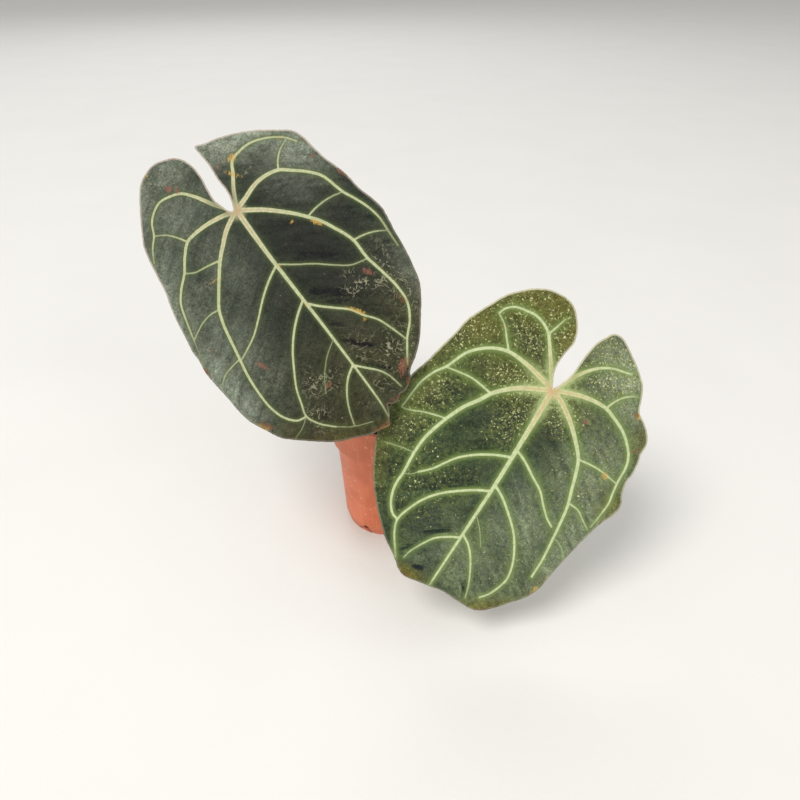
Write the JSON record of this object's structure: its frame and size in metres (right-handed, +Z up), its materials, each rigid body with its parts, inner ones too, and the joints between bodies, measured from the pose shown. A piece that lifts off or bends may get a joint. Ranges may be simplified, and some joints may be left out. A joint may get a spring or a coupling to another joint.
{
  "type": "potted crystal anthurium",
  "caption": "Potted anthurium: large heart-shaped velvety leaves with pale veins hang from arching stalks over a tapered nursery pot of bark mix.",
  "frame": {"origin": "middle of the pot's flat underside, on the surface that it stands on", "axes": "+Z up out of the pot; -Y towards the side that both leaves face; +X towards the lower, right-hand leaf"},
  "size_m": [0.4075, 0.2119, 0.3546],
  "materials": {
    "pot_plastic": "satin moulded terracotta-coloured plastic",
    "bark_mix": "rough bark chips with perlite",
    "stem_bark": "ringed olive-brown stem",
    "dry_sheath": "dry fibrous sheath",
    "stalk_green": "smooth olive stalk",
    "blade_dark": "velvety grey-green with pale veins",
    "blade_light": "velvety mid-green with pale veins and speckles"
  },
  "bodies": {
    "root": {"pot": "pot_plastic", "potting_mix": "bark_mix", "stem": "stem_bark", "sheath_front": "dry_sheath", "sheath_back": "dry_sheath", "stalk_left": "stalk_green", "stalk_right": "stalk_green", "blade_left": "blade_dark", "blade_right": "blade_light"}
  },
  "joints": []
}
